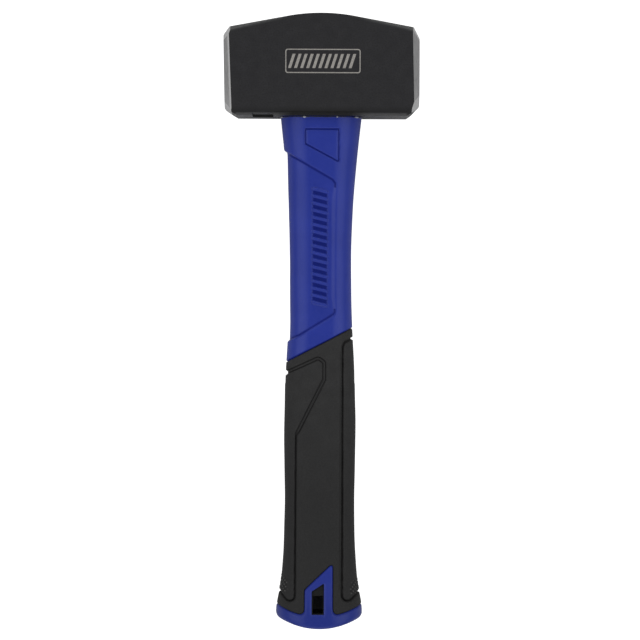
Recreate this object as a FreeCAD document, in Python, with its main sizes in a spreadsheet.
"""Lump hammer: a forged steel head bonded to a glass-fibre rod, which runs inside a moulded handle.

Millimetres. The hammer lies on its side: X runs along the head, from striking face to striking face,
Y runs along the handle towards the head, and +Z is up, across the thickness. The origin is under the
middle of the whole hammer, on the surface that the head's cheek rests on. The front and the back of the
hammer are mirror images, so every piece is drawn about the hammer's mid-plane and then lifted by half the
head's thickness.
"""

import FreeCAD, Part
import math
import os
import Sketcher

SIZES = {
    # along the hammer, measured from the middle of its length
    "head_top_at": 147.5,
    "head_shoulder_at": 140.9,
    "head_underside_at": 98.4,
    # head
    "head_length": 94.2,
    "head_depth": 40.0,
    "crown_radius": 88.0,
    "heel_length": 3.0,
    "heel_height": 2.2,
    "edge_chamfer": 1.4,
    "facet_size": 1.8,
    "facet_start": 14.0,
    "bevel_length": 2.9,
    "bevel_foot_at": 100.7,
    "face_top_at": 136.4,
    "face_bottom_at": 103.0,
    "face_depth": 29.0,
    "face_corner": 2.0,
    "eye_low_width": 29.0,
    "eye_low_depth": 20.0,
    "eye_high_width": 33.0,
    "eye_high_depth": 24.0,
    "stamp_left": -32.9,
    "stamp_width": 9.3,
    "stamp_reach": 16.5,
    "stamp_depth": 0.7,
    # glass-fibre rod and the resin that bonds it
    "rod_width": 20.0,
    "rod_depth": 14.0,
    "rod_low_end_at": -108.0,
    "resin_below_top": 1.2,
    "bead_size": 0.9,
    # handle sections: the small flats at the two sides of every rounded section
    "side_flat": 5.0,
    # moulded jacket
    "panel_line_width": 0.6,
    "panel_line_depth": 0.5,
    "rib_top_at": 64.4,
    "rib_pitch": 3.4,
    "rib_height": 1.5,
    "rib_width": 7.4,
    "rib_lean": 1.8,
    # soft grip
    "grip_thickness": 2.4,
    "groove_depth": 1.0,
    "left_groove_width": 1.4,
    "right_groove_width": 1.0,
    "joint_middle_at": -11.2,
    "joint_slope": 0.511,
    # butt
    "butt_centre_at": -111.0,
    "butt_radius": 36.5,
    "butt_corner": 5.0,
    "grip_foot_centre_at": -99.4,
    "grip_foot_radius": 42.1,
    "window_left": -3.55,
    "window_right": 2.35,
    "window_bottom_at": -140.6,
    "hole_top_at": -131.5,
    "lining": 0.5,
    "frame_left": -7.2,
    "frame_right": 6.7,
}

# Handle sections from the head to the butt: name, place along the handle, width and depth.
STATIONS = [
    ("collar", 98.4, 38.9, 30.0),
    ("taper", 76.0, 34.3, 27.8),
    ("shoulder", 54.0, 30.8, 25.4),
    ("neck", 30.0, 29.4, 24.4),
    ("waist", 0.0, 30.5, 25.4),
    ("grip_start", -25.0, 33.0, 27.4),
    ("palm", -56.0, 34.1, 28.6),
    ("finger", -91.0, 33.2, 27.8),
    ("lower_palm", -112.0, 34.5, 28.6),
    ("flare", -125.0, 36.7, 31.4),
    ("butt", -137.0, 41.0, 35.8),
    ("tail", -150.0, 41.4, 36.4),
]

# The floor of the jacket's side recess is a straighter form of its own: place, width and depth.
RECESS_STATIONS = [
    ("recess_top", 98.4, 33.8, 28.2),
    ("recess_upper", 54.0, 30.0, 24.4),
    ("recess_middle", 30.0, 28.7, 23.6),
    ("recess_lower", 0.0, 28.6, 24.4),
    ("recess_end", -20.0, 28.9, 25.6),
]

PAST = 26.0  # anything this far from the centre line is outside the handle
TOOL_DEPTH = 60.0  # a cutting tool this deep passes right through the handle
RIB_COUNT = 17
SHEET = "sizes"


class Size:
    """A number together with the spreadsheet formula that it comes from."""

    def __init__(self, value, formula=None):
        self.value = float(value)
        self.formula = formula or repr(float(value))

    def _with(self, other, sign, value):
        return Size(value, f"({self.formula} {sign} {size(other).formula})")

    def __add__(self, other):
        return self._with(other, "+", self.value + size(other).value)

    def __sub__(self, other):
        return self._with(other, "-", self.value - size(other).value)

    def __mul__(self, other):
        return self._with(other, "*", self.value * size(other).value)

    def __truediv__(self, other):
        return self._with(other, "/", self.value / size(other).value)

    def __neg__(self):
        return Size(-self.value, f"(0 - {self.formula})")


def size(value):
    return value if isinstance(value, Size) else Size(value)


class Sizes:
    """The driving dimensions: a spreadsheet cell and a Size for each."""

    def __init__(self, doc):
        self.sheet = doc.addObject("Spreadsheet::Sheet", SHEET)
        self.row = 0
        for name, value in SIZES.items():
            self.add(name, value)
        for name, at, width, depth in STATIONS + RECESS_STATIONS:
            self.add(name + "_at", at)
            self.add(name + "_width", width)
            self.add(name + "_depth", depth)
        doc.recompute()

    def add(self, name, value):
        self.row += 1
        self.sheet.set(f"A{self.row}", name)
        self.sheet.set(f"B{self.row}", str(value))
        self.sheet.setAlias(f"B{self.row}", name)
        setattr(self, name, Size(value, f"{SHEET}.{name}"))


def bind(thing, prop, value):
    thing.setExpression(prop, size(value).formula)


# ---------------------------------------------------------------- sketches


def plane_of(body, role):
    return next(f for f in body.Origin.OriginFeatures if f.Role == role)


def new_sketch(doc, name, body=None, role="XY_Plane", offset=None):
    """A sketch on one of a body's origin planes, or a free one in the plane that role names."""
    if body is not None:
        sketch = body.newObject("Sketcher::SketchObject", name)
        sketch.AttachmentSupport = [(plane_of(body, role), "")]
        sketch.MapMode = "FlatFace"
        if offset is not None:
            bind(sketch, "AttachmentOffset.Base.z", offset)
        return sketch
    sketch = doc.addObject("Sketcher::SketchObject", name)
    if role == "XZ_Plane":
        upright = FreeCAD.Rotation(FreeCAD.Vector(1, 0, 0), 90)
        sketch.Placement = FreeCAD.Placement(FreeCAD.Vector(0, 0, 0), upright)
        if offset is not None:
            bind(sketch, "Placement.Base.y", offset)
    return sketch


def drive(sketch, constraint, value):
    """Adds a dimension to the sketch and binds it to the sizes."""
    index = sketch.addConstraint(constraint)
    sketch.setExpression(f"Constraints[{index}]", size(value).formula)


def place_point(sketch, element, end, x, y):
    """Fixes one end of an element at a driven place, measured from the sketch's origin."""
    drive(sketch, Sketcher.Constraint("DistanceX", -1, 1, element, end, size(x).value), x)
    drive(sketch, Sketcher.Constraint("DistanceY", -1, 1, element, end, size(y).value), y)


def arc_through(start, end, radius, side):
    """An arc from start to end that bulges to the given side (+1 is to the left of start to end)."""
    chord = end - start
    middle = (start + end) * 0.5
    across = FreeCAD.Vector(-chord.y, chord.x, 0).normalize()
    to_centre = math.sqrt(radius**2 - (chord.Length / 2) ** 2)
    centre = middle - across * side * to_centre
    top = centre + across * side * radius
    return Part.Arc(start, top, end)


def outline(sketch, corners, closed=True):
    """Straight lines through driven corners. A corner may add (radius, side) for an arc to the next one."""
    points = [FreeCAD.Vector(size(c[0]).value, size(c[1]).value, 0) for c in corners]
    count = len(corners) if closed else len(corners) - 1
    ends = []
    for i in range(count):
        start, end = points[i], points[(i + 1) % len(points)]
        if len(corners[i]) > 2:
            radius, side = corners[i][2]
            arc = arc_through(start, end, size(radius).value, side)
            element = sketch.addGeometry(arc, False)
            first = sketch.getPoint(element, 1)
            forward = (first - start).Length < (first - end).Length
            drive(sketch, Sketcher.Constraint("Radius", element, size(radius).value), radius)
        else:
            element = sketch.addGeometry(Part.LineSegment(start, end), False)
            forward = True
        ends.append((element, 1 if forward else 2, 2 if forward else 1))
    for i, (element, first, last) in enumerate(ends):
        place_point(sketch, element, first, corners[i][0], corners[i][1])
        if i + 1 < count or closed:
            following = ends[(i + 1) % count]
            joined = (element, last, following[0], following[1])
            sketch.addConstraint(Sketcher.Constraint("Coincident", *joined))
        else:
            place_point(sketch, element, last, corners[-1][0], corners[-1][1])
    return sketch


def rounded_section(sketch, width, depth, flat):
    """A rounded rectangle about the origin, whose corner arcs leave flats of that height at the sides."""
    a, b, r = width.value / 2, depth.value / 2, (depth.value - flat.value) / 2
    f, g = a - r, b - r
    corner = [(f, g, 0.0), (f, -g, -90.0), (-f, -g, 180.0), (-f, g, 90.0)]
    line = [((-f, b), (f, b)), ((a, g), (a, -g)), ((f, -b), (-f, -b)), ((-a, -g), (-a, g))]
    for i in range(4):
        (x1, y1), (x2, y2) = line[i]
        cx, cy, low = corner[i]
        sketch.addGeometry(Part.LineSegment(FreeCAD.Vector(x1, y1, 0), FreeCAD.Vector(x2, y2, 0)), False)
        circle = Part.Circle(FreeCAD.Vector(cx, cy, 0), FreeCAD.Vector(0, 0, 1), r)
        start, end = math.radians(low), math.radians(low + 90)
        sketch.addGeometry(Part.ArcOfCircle(circle, start, end), False)
    for i in range(4):
        straight, arc, following = 2 * i, 2 * i + 1, (2 * i + 2) % 8
        sketch.addConstraint(Sketcher.Constraint("Tangent", straight, 2, arc, 2))
        sketch.addConstraint(Sketcher.Constraint("Tangent", arc, 1, following, 1))
    for straight in (0, 4):
        sketch.addConstraint(Sketcher.Constraint("Horizontal", straight))
    for straight in (2, 6):
        sketch.addConstraint(Sketcher.Constraint("Vertical", straight))
    for arc in (3, 5, 7):
        sketch.addConstraint(Sketcher.Constraint("Equal", 1, arc))
    sketch.addConstraint(Sketcher.Constraint("Symmetric", 0, 1, 4, 1, -1, 1))
    drive(sketch, Sketcher.Constraint("DistanceX", -1, 1, 2, 1, a), width / 2)
    drive(sketch, Sketcher.Constraint("DistanceY", -1, 1, 0, 1, b), depth / 2)
    drive(sketch, Sketcher.Constraint("Radius", 1, r), (depth - flat) / 2)
    return sketch


# ---------------------------------------------------------------- solids


def prism(doc, name, sketch):
    """The sketch's outline, drawn out through the whole thickness of the handle."""
    solid = doc.addObject("Part::Extrusion", name)
    solid.Base = sketch
    solid.DirMode = "Normal"
    solid.LengthFwd = TOOL_DEPTH
    solid.Symmetric = True
    solid.Solid = True
    return solid


def boolean(doc, kind, name, base, tool):
    """Part::Cut or Part::Common of two objects."""
    result = doc.addObject("Part::" + kind, name)
    result.Base = base
    result.Tool = tool
    return result


def loft(doc, name, sections):
    form = doc.addObject("Part::Loft", name)
    form.Sections = sections
    form.Solid = True
    form.Ruled = False
    return form


def grown(doc, name, source, by):
    """A section grown outwards by a driven amount, or shrunk where it is negative."""
    result = doc.addObject("Part::Offset2D", name)
    result.Source = source
    result.Join = "Arc"
    bind(result, "Value", by)
    return result


def strip(doc, name, path, width):
    """A band of the given width along an open path, drawn out through the handle."""
    band = doc.addObject("Part::Offset2D", name + "_band")
    band.Source = path
    band.Join = "Arc"
    band.Fill = True
    bind(band, "Value", width)
    return prism(doc, name, band)


def pad(body, sketch, length):
    feature = body.newObject("PartDesign::Pad", sketch.Name + "_pad")
    feature.Profile = sketch
    feature.Midplane = True
    bind(feature, "Length", length)
    return feature


def lofted(body, kind, name, sketches, ruled):
    feature = body.newObject("PartDesign::" + kind, name)
    feature.Profile = sketches[0]
    feature.Sections = sketches[1:]
    feature.Ruled = ruled
    return feature


# ---------------------------------------------------------------- head


def octagon(sketch, low, high, half_depth, low_cut, high_cut):
    """A section of the head's end in the side view: Y to the right, Z up, with its corners cut."""
    return outline(sketch, [
        (low, half_depth - low_cut),
        (low + low_cut, half_depth),
        (high - high_cut, half_depth),
        (high, half_depth - high_cut),
        (high, high_cut - half_depth),
        (high - high_cut, -half_depth),
        (low + low_cut, -half_depth),
        (low, low_cut - half_depth),
    ])


def head_block(doc, body, s):
    """The forged block with its crowned top, and its long lower edges chamfered."""
    half = s.head_length / 2 - s.bevel_length
    heel = half - s.heel_length
    crown_centre = s.head_top_at - s.crown_radius
    sketch = new_sketch(doc, "head_outline", body)
    run, rise = half.value, s.head_shoulder_at.value - crown_centre.value
    angle = math.atan2(rise, run) + math.acos(s.crown_radius.value / math.hypot(run, rise))
    touch = FreeCAD.Vector(math.cos(angle), math.sin(angle), 0) * s.crown_radius.value
    centre = FreeCAD.Vector(0, crown_centre.value, 0)
    right, left = centre + touch, centre + FreeCAD.Vector(-touch.x, touch.y, 0)
    corners = [
        (-half, s.head_shoulder_at),
        (-half, s.head_underside_at + s.heel_height),
        (-heel, s.head_underside_at),
        (heel, s.head_underside_at),
        (half, s.head_underside_at + s.heel_height),
        (half, s.head_shoulder_at),
    ]
    outline(sketch, corners, closed=False)
    shoulder_right = FreeCAD.Vector(half.value, s.head_shoulder_at.value, 0)
    shoulder_left = FreeCAD.Vector(-half.value, s.head_shoulder_at.value, 0)
    slope_right = sketch.addGeometry(Part.LineSegment(shoulder_right, right), False)
    apex = centre + FreeCAD.Vector(0, s.crown_radius.value, 0)
    crown = sketch.addGeometry(Part.Arc(right, apex, left), False)
    slope_left = sketch.addGeometry(Part.LineSegment(left, shoulder_left), False)
    sketch.addConstraint(Sketcher.Constraint("Coincident", 4, 2, slope_right, 1))
    sketch.addConstraint(Sketcher.Constraint("Coincident", slope_left, 2, 0, 1))
    sketch.addConstraint(Sketcher.Constraint("Tangent", slope_right, 2, crown, 1))
    sketch.addConstraint(Sketcher.Constraint("Tangent", crown, 2, slope_left, 1))
    sketch.addConstraint(Sketcher.Constraint("PointOnObject", crown, 3, -2))
    drive(sketch, Sketcher.Constraint("DistanceY", -1, 1, crown, 3, crown_centre.value), crown_centre)
    drive(sketch, Sketcher.Constraint("Radius", crown, s.crown_radius.value), s.crown_radius)
    block = pad(body, sketch, s.head_depth)
    doc.recompute()

    reach = s.head_depth.value / 2
    lowest = s.head_underside_at.value + s.heel_height.value + 0.1
    edges = []
    for i, edge in enumerate(block.Shape.Edges):
        box = edge.BoundBox
        on_cheek = abs(abs(box.ZMin) - reach) < 1e-6 and box.ZLength < 1e-6
        if on_cheek and box.YMax < lowest:
            edges.append(f"Edge{i + 1}")
    chamfer = body.newObject("PartDesign::Chamfer", "lower_edges")
    chamfer.Base = (block, edges)
    bind(chamfer, "Size", s.edge_chamfer)
    doc.recompute()
    return half


def top_facets(doc, body, s, half):
    """Flats ground along the upper edges, which open out towards the striking faces."""
    reach = 10.0
    crown_centre = s.head_top_at - s.crown_radius
    start = s.facet_start
    rise = Size(
        math.sqrt(s.crown_radius.value**2 - start.value**2),
        f"sqrt({s.crown_radius.formula} ^ 2 - {start.formula} ^ 2)",
    )
    for side, word in ((1, "right"), (-1, "left")):
        for face, other in ((1, "front"), (-1, "back")):
            sketches = []
            stops = [(start, crown_centre + rise, Size(0)), (half, s.head_shoulder_at, s.facet_size)]
            for step, (along, top, cut) in enumerate(stops):
                name = f"facet_{word}_{other}_{step}"
                sketch = new_sketch(doc, name, body, "YZ_Plane", along * side)
                z = s.head_depth / 2
                outline(sketch, [
                    (top - cut - reach, (z + reach) * face),
                    (top + reach, (z - cut - reach) * face),
                    (top + reach, (z + reach) * face),
                ])
                sketches.append(sketch)
            lofted(body, "SubtractiveLoft", f"facet_{word}_{other}", sketches, True)
    doc.recompute()


def striking_ends(doc, body, s, half):
    """The ground ends, whose bevels narrow to the striking faces. They stop just above the heels."""
    for side, word in ((1, "right"), (-1, "left")):
        root = new_sketch(doc, f"end_root_{word}", body, "YZ_Plane", half * side)
        octagon(
            root,
            s.bevel_foot_at,
            s.head_shoulder_at,
            s.head_depth / 2,
            s.edge_chamfer,
            s.facet_size,
        )
        tip = new_sketch(doc, f"end_face_{word}", body, "YZ_Plane", s.head_length / 2 * side)
        octagon(tip, s.face_bottom_at, s.face_top_at, s.face_depth / 2, s.face_corner, s.face_corner)
        lofted(body, "AdditiveLoft", f"striking_end_{word}", [root, tip], True)
    doc.recompute()


def head(doc, s):
    body = doc.addObject("PartDesign::Body", "head")
    body.Label = "head"
    half = head_block(doc, body, s)
    top_facets(doc, body, s, half)
    striking_ends(doc, body, s, half)

    # A stamped recess in the underside, which breaks through the chamfer.
    stamp = new_sketch(doc, "stamp_outline", body, "XZ_Plane", -s.head_underside_at)
    left, right = s.stamp_left, s.stamp_left + s.stamp_width
    low, high = s.head_depth / 2 - s.stamp_reach, s.head_depth / 2 + 1
    outline(stamp, [(left, low), (right, low), (right, high), (left, high)])
    before = body.Shape.Volume
    pocket = body.newObject("PartDesign::Pocket", "stamp")
    pocket.Profile = stamp
    bind(pocket, "Length", s.stamp_depth)
    doc.recompute()
    if body.Shape.Volume > before - 1:
        pocket.Reversed = True
        doc.recompute()

    # The eye is wider at the top, so the resin in it is a wedge that holds the head on.
    low = new_sketch(doc, "eye_low", body, "XZ_Plane", -s.head_underside_at)
    rounded_section(low, s.eye_low_width, s.eye_low_depth, Size(1))
    high = new_sketch(doc, "eye_high", body, "XZ_Plane", -s.head_top_at)
    rounded_section(high, s.eye_high_width, s.eye_high_depth, Size(1))
    lofted(body, "SubtractiveLoft", "eye", [low, high], False)
    doc.recompute()
    return body


# ---------------------------------------------------------------- rod and resin


def core_rod(doc, s):
    """The pultruded glass-fibre rod, from above the hanging hole to just under the head's top."""
    body = doc.addObject("PartDesign::Body", "core_rod")
    body.Label = "core_rod"
    section = new_sketch(doc, "rod_section", body, "XZ_Plane", -s.rod_low_end_at)
    rounded_section(section, s.rod_width, s.rod_depth, Size(1))
    feature = body.newObject("PartDesign::Pad", "rod")
    feature.Profile = section
    feature.Reversed = True
    bind(feature, "Length", s.head_top_at - s.resin_below_top - s.rod_low_end_at)
    doc.recompute()
    return body


def rod_space(doc, s):
    """The space that the rod takes up, to be cut from what surrounds it."""
    ends = []
    for name, at in (("rod_space_low", s.rod_low_end_at), ("rod_space_high", s.head_top_at)):
        sketch = new_sketch(doc, name, None, "XZ_Plane", at)
        ends.append(rounded_section(sketch, s.rod_width, s.rod_depth, Size(1)))
    return loft(doc, "rod_space", ends)


def eye_resin(doc, s, rod):
    """The cast resin that fills the eye round the rod."""
    low = new_sketch(doc, "resin_low", None, "XZ_Plane", s.head_underside_at)
    rounded_section(low, s.eye_low_width, s.eye_low_depth, Size(1))
    high = new_sketch(doc, "resin_high", None, "XZ_Plane", s.head_top_at)
    rounded_section(high, s.eye_high_width, s.eye_high_depth, Size(1))
    filling = loft(doc, "eye_filling", [low, high])
    above = doc.addObject("Part::Box", "above_resin")
    for prop in ("Length", "Width", "Height"):
        setattr(above, prop, TOOL_DEPTH)
    above.Placement.Base = FreeCAD.Vector(-TOOL_DEPTH / 2, 0, -TOOL_DEPTH / 2)
    bind(above, "Placement.Base.y", s.head_top_at - s.resin_below_top)
    trimmed = boolean(doc, "Cut", "trimmed_filling", filling, above)
    return boolean(doc, "Cut", "eye_resin", trimmed, rod)


# ---------------------------------------------------------------- handle


def handle_sections(doc, s, names, flat):
    sections = []
    for name in names:
        sketch = new_sketch(doc, name + "_section", None, "XZ_Plane", getattr(s, name + "_at"))
        width, depth = getattr(s, name + "_width"), getattr(s, name + "_depth")
        sections.append(rounded_section(sketch, width, depth, flat))
    return sections


def inset_form(doc, s, name, sections, inset):
    """The handle's form with every section drawn in by the same amount."""
    shrunk = [grown(doc, f"{name}_{i}", section, -inset) for i, section in enumerate(sections)]
    return loft(doc, name, shrunk)


def butt_profile(doc, s):
    """The handle's outline in the front view: straight sides, and a bowed end with rounded corners."""
    centre, radius = s.butt_centre_at, s.butt_radius
    half = s.butt_width / 2
    turn = half - s.butt_corner / 2
    foot = centre - Size(
        math.sqrt(radius.value**2 - turn.value**2),
        f"sqrt({radius.formula} ^ 2 - {turn.formula} ^ 2)",
    )
    sketch = new_sketch(doc, "butt_outline")
    outline(sketch, [
        (Size(-PAST), s.collar_at),
        (Size(-PAST), s.butt_at - 2),
        (-half, s.butt_at - 2, (s.butt_corner, -1)),
        (-turn, foot, (radius, -1)),
        (turn, foot, (s.butt_corner, -1)),
        (half, s.butt_at - 2),
        (Size(PAST), s.butt_at - 2),
        (Size(PAST), s.collar_at),
    ])
    return prism(doc, "butt_profile", sketch)


def grip_zone(doc, s):
    """What the grip covers in the front view: all below a slanting joint, but for the butt and the frame."""
    past = Size(PAST)
    centre, radius = s.grip_foot_centre_at, s.grip_foot_radius

    def foot(x):
        drop = Size(
            math.sqrt(radius.value**2 - x.value**2), f"sqrt({radius.formula} ^ 2 - {x.formula} ^ 2)"
        )
        return centre - drop

    left, right = s.frame_left, s.frame_right
    step = 2.2  # the frame's feet spread by this much where they meet the butt
    sketch = new_sketch(doc, "grip_outline")
    outline(sketch, [
        (-past, s.joint_middle_at - s.joint_slope * past),
        (-past, foot(past), (radius, -1)),
        (left - step, foot(left - step)),
        (left, foot(left) + step),
        (left, s.hole_top_at + 2.6),
        (right - 0.8, s.hole_top_at + 14.5),
        (right, s.hole_top_at + 13.4),
        (right, foot(right) + step),
        (right + step, foot(right + step), (radius, -1)),
        (past, foot(past)),
        (past, s.joint_middle_at + s.joint_slope * past),
    ])
    return prism(doc, "grip_zone", sketch)


def grip_grooves(doc, s):
    """The two moulded grooves that set the side pads apart from the front of the grip."""
    past = Size(PAST)
    left = new_sketch(doc, "left_groove_path")
    outline(left, [
        (-past, s.joint_middle_at - 17.8),
        (Size(-1.0), s.joint_middle_at - 5.8),
        (Size(2.6), s.joint_middle_at - 8.2),
        (Size(2.6), s.joint_middle_at - 15.4),
        (Size(-10.9), s.joint_middle_at - 42.2),
        (Size(-10.9), s.hole_top_at + 1.6, (Size(3.4), 1)),
        (Size(-14.6), s.hole_top_at - 1.7),
        (-past, s.hole_top_at + 8.4),
    ], closed=False)
    right = new_sketch(doc, "right_groove_path")
    outline(right, [
        (past, s.joint_middle_at + 8.7),
        (Size(11.9), s.joint_middle_at + 1.0),
        (Size(10.3), s.joint_middle_at - 1.2),
        (Size(10.3), s.hole_top_at + 2.2, (Size(3.6), -1)),
        (Size(14.4), s.hole_top_at - 2.2),
        (past, s.hole_top_at + 6.6),
    ], closed=False)
    return [
        strip(doc, "left_groove", left, s.left_groove_width),
        strip(doc, "right_groove", right, s.right_groove_width),
    ]


def recess_zone(doc, s):
    """The recess round one side of the jacket, less the raised ribs that stand in it."""
    past = Size(PAST)
    sketch = new_sketch(doc, "recess_outline")
    outline(sketch, [
        (-past, Size(87.0)),
        (Size(6.0), Size(68.6)),
        (Size(7.6), Size(66.0)),
        (Size(7.6), Size(4.6)),
        (Size(6.6), Size(2.8)),
        (-past, Size(-15.4)),
    ])
    zone = prism(doc, "recess_prism", sketch)
    left, right = -s.rib_width / 2 - 0.4, s.rib_width / 2 - 0.4
    for i in range(RIB_COUNT):
        high = s.rib_top_at - s.rib_pitch * i
        rib = new_sketch(doc, f"rib_outline_{i}")
        outline(rib, [
            (left, high - s.rib_height),
            (right, high - s.rib_height - s.rib_lean),
            (right, high - s.rib_lean),
            (left, high),
        ])
        zone = boolean(doc, "Cut", f"recess_less_rib_{i}", zone, prism(doc, f"rib_{i}", rib))
    return zone


def panel_line(doc, s):
    """The engraved four-sided outline under the head."""
    sketch = new_sketch(doc, "panel_outline")
    outline(sketch, [
        (Size(-7.5), Size(85.2)),
        (Size(8.5), Size(76.4)),
        (Size(8.5), Size(92.2)),
        (Size(-7.5), Size(92.2)),
    ])
    return strip(doc, "panel_line", sketch, s.panel_line_width)


def window_zone(doc, s):
    """The window through the butt, whose slanted upper part the soft insert fills."""
    sketch = new_sketch(doc, "window_outline")
    outline(sketch, [
        (s.window_left, s.window_bottom_at),
        (s.window_right, s.window_bottom_at),
        (s.window_right, s.hole_top_at + 5.6),
        (s.window_right - 0.6, s.hole_top_at + 6.0),
        (s.window_left, s.hole_top_at + 2.0),
    ])
    return prism(doc, "window_zone", sketch)


def hang_hole(doc, s):
    """The oblong hole that the insert leaves open, inside its thin lining."""
    left, right = s.window_left + s.lining, s.window_right - s.lining
    bottom = s.window_bottom_at + s.lining
    sketch = new_sketch(doc, "hole_outline")
    outline(sketch, [(left, bottom), (right, bottom), (right, s.hole_top_at), (left, s.hole_top_at)])
    return prism(doc, "hang_hole", sketch)


def handle(doc, s, rod):
    """The jacket, the soft grip and the soft insert round the hole, all cut from one outer form."""
    sections = handle_sections(doc, s, [station[0] for station in STATIONS], s.side_flat)
    outer = boolean(doc, "Common", "outer_form", loft(doc, "handle_loft", sections), butt_profile(doc, s))
    under_grip = inset_form(doc, s, "under_grip", sections, s.grip_thickness)
    under_groove = inset_form(doc, s, "under_groove", sections, s.groove_depth)
    under_line = inset_form(doc, s, "under_line", sections, s.panel_line_depth)
    floor_sections = handle_sections(doc, s, [station[0] for station in RECESS_STATIONS], s.side_flat)
    recess_floor = loft(doc, "recess_floor", floor_sections)

    # soft grip
    shell = boolean(doc, "Cut", "outer_shell", outer, under_grip)
    blank = boolean(doc, "Common", "grip_blank", shell, grip_zone(doc, s))
    grip = blank
    for groove in grip_grooves(doc, s):
        tool = boolean(doc, "Cut", groove.Name + "_tool", groove, under_groove)
        grip = boolean(doc, "Cut", "grip_less_" + groove.Name, grip, tool)

    # jacket
    window = window_zone(doc, s)
    insert_blank = boolean(doc, "Common", "insert_blank", outer, window)
    insert = boolean(doc, "Cut", "hole_insert", insert_blank, hang_hole(doc, s))
    jacket = outer
    cuts = [
        blank,
        boolean(doc, "Cut", "recess_tool", recess_zone(doc, s), recess_floor),
        boolean(doc, "Cut", "panel_line_tool", panel_line(doc, s), under_line),
        window,
        rod,
    ]
    for cut in cuts:
        jacket = boolean(doc, "Cut", "jacket_less_" + cut.Name, jacket, cut)
    return jacket, grip, insert


def collar_bead(doc, s, outer_form):
    """The bead of resin squeezed out where the jacket meets the head's underside."""
    high = new_sketch(doc, "bead_high", None, "XZ_Plane", s.head_underside_at)
    rounded_section(high, s.collar_width + s.bead_size * 2, s.collar_depth + s.bead_size * 2, s.side_flat)
    low = new_sketch(doc, "bead_low", None, "XZ_Plane", s.head_underside_at - s.bead_size)
    rounded_section(low, s.collar_width, s.collar_depth, s.side_flat)
    return boolean(doc, "Cut", "collar_bead", loft(doc, "bead_form", [high, low]), outer_form)


# ---------------------------------------------------------------- the whole hammer


def finish(doc, s, piece, label):
    """Gives a piece its label, and lifts it from the mid-plane to where the hammer lies."""
    piece.Label = label
    bind(piece, "Placement.Base.z", s.head_depth / 2)
    return piece


def write(doc, pieces):
    doc.recompute()
    failed = [o.Name for o in doc.Objects if {"Invalid", "Error"} & set(o.State)]
    if failed:
        raise RuntimeError(f"these objects failed: {failed}")
    os.makedirs("parts", exist_ok=True)
    for piece in pieces:
        shape = piece.Shape
        if shape.isNull() or not shape.isValid() or not shape.Solids:
            raise RuntimeError(f"{piece.Label} has no valid solid")
    for piece in pieces:
        shape = piece.Shape
        shape.exportStep(os.path.join("parts", piece.Label + ".step"))
        box = shape.BoundBox
        corners = [round(v, 2) for v in (box.XMin, box.YMin, box.ZMin, box.XMax, box.YMax, box.ZMax)]
        print(piece.Label, len(shape.Solids), "solids", round(shape.Volume / 1000, 2), "cm3", corners)


def main():
    doc = FreeCAD.newDocument("lump_hammer")
    s = Sizes(doc)
    rod = rod_space(doc, s)
    jacket, grip, insert = handle(doc, s, rod)
    doc.recompute()
    resin = eye_resin(doc, s, rod)
    bead = collar_bead(doc, s, doc.getObject("outer_form"))
    pieces = [
        finish(doc, s, head(doc, s), "head"),
        finish(doc, s, core_rod(doc, s), "core_rod"),
        finish(doc, s, resin, "eye_resin"),
        finish(doc, s, bead, "collar_bead"),
        finish(doc, s, jacket, "handle_jacket"),
        finish(doc, s, grip, "grip_sleeve"),
        finish(doc, s, insert, "hole_insert"),
    ]
    write(doc, pieces)


main()
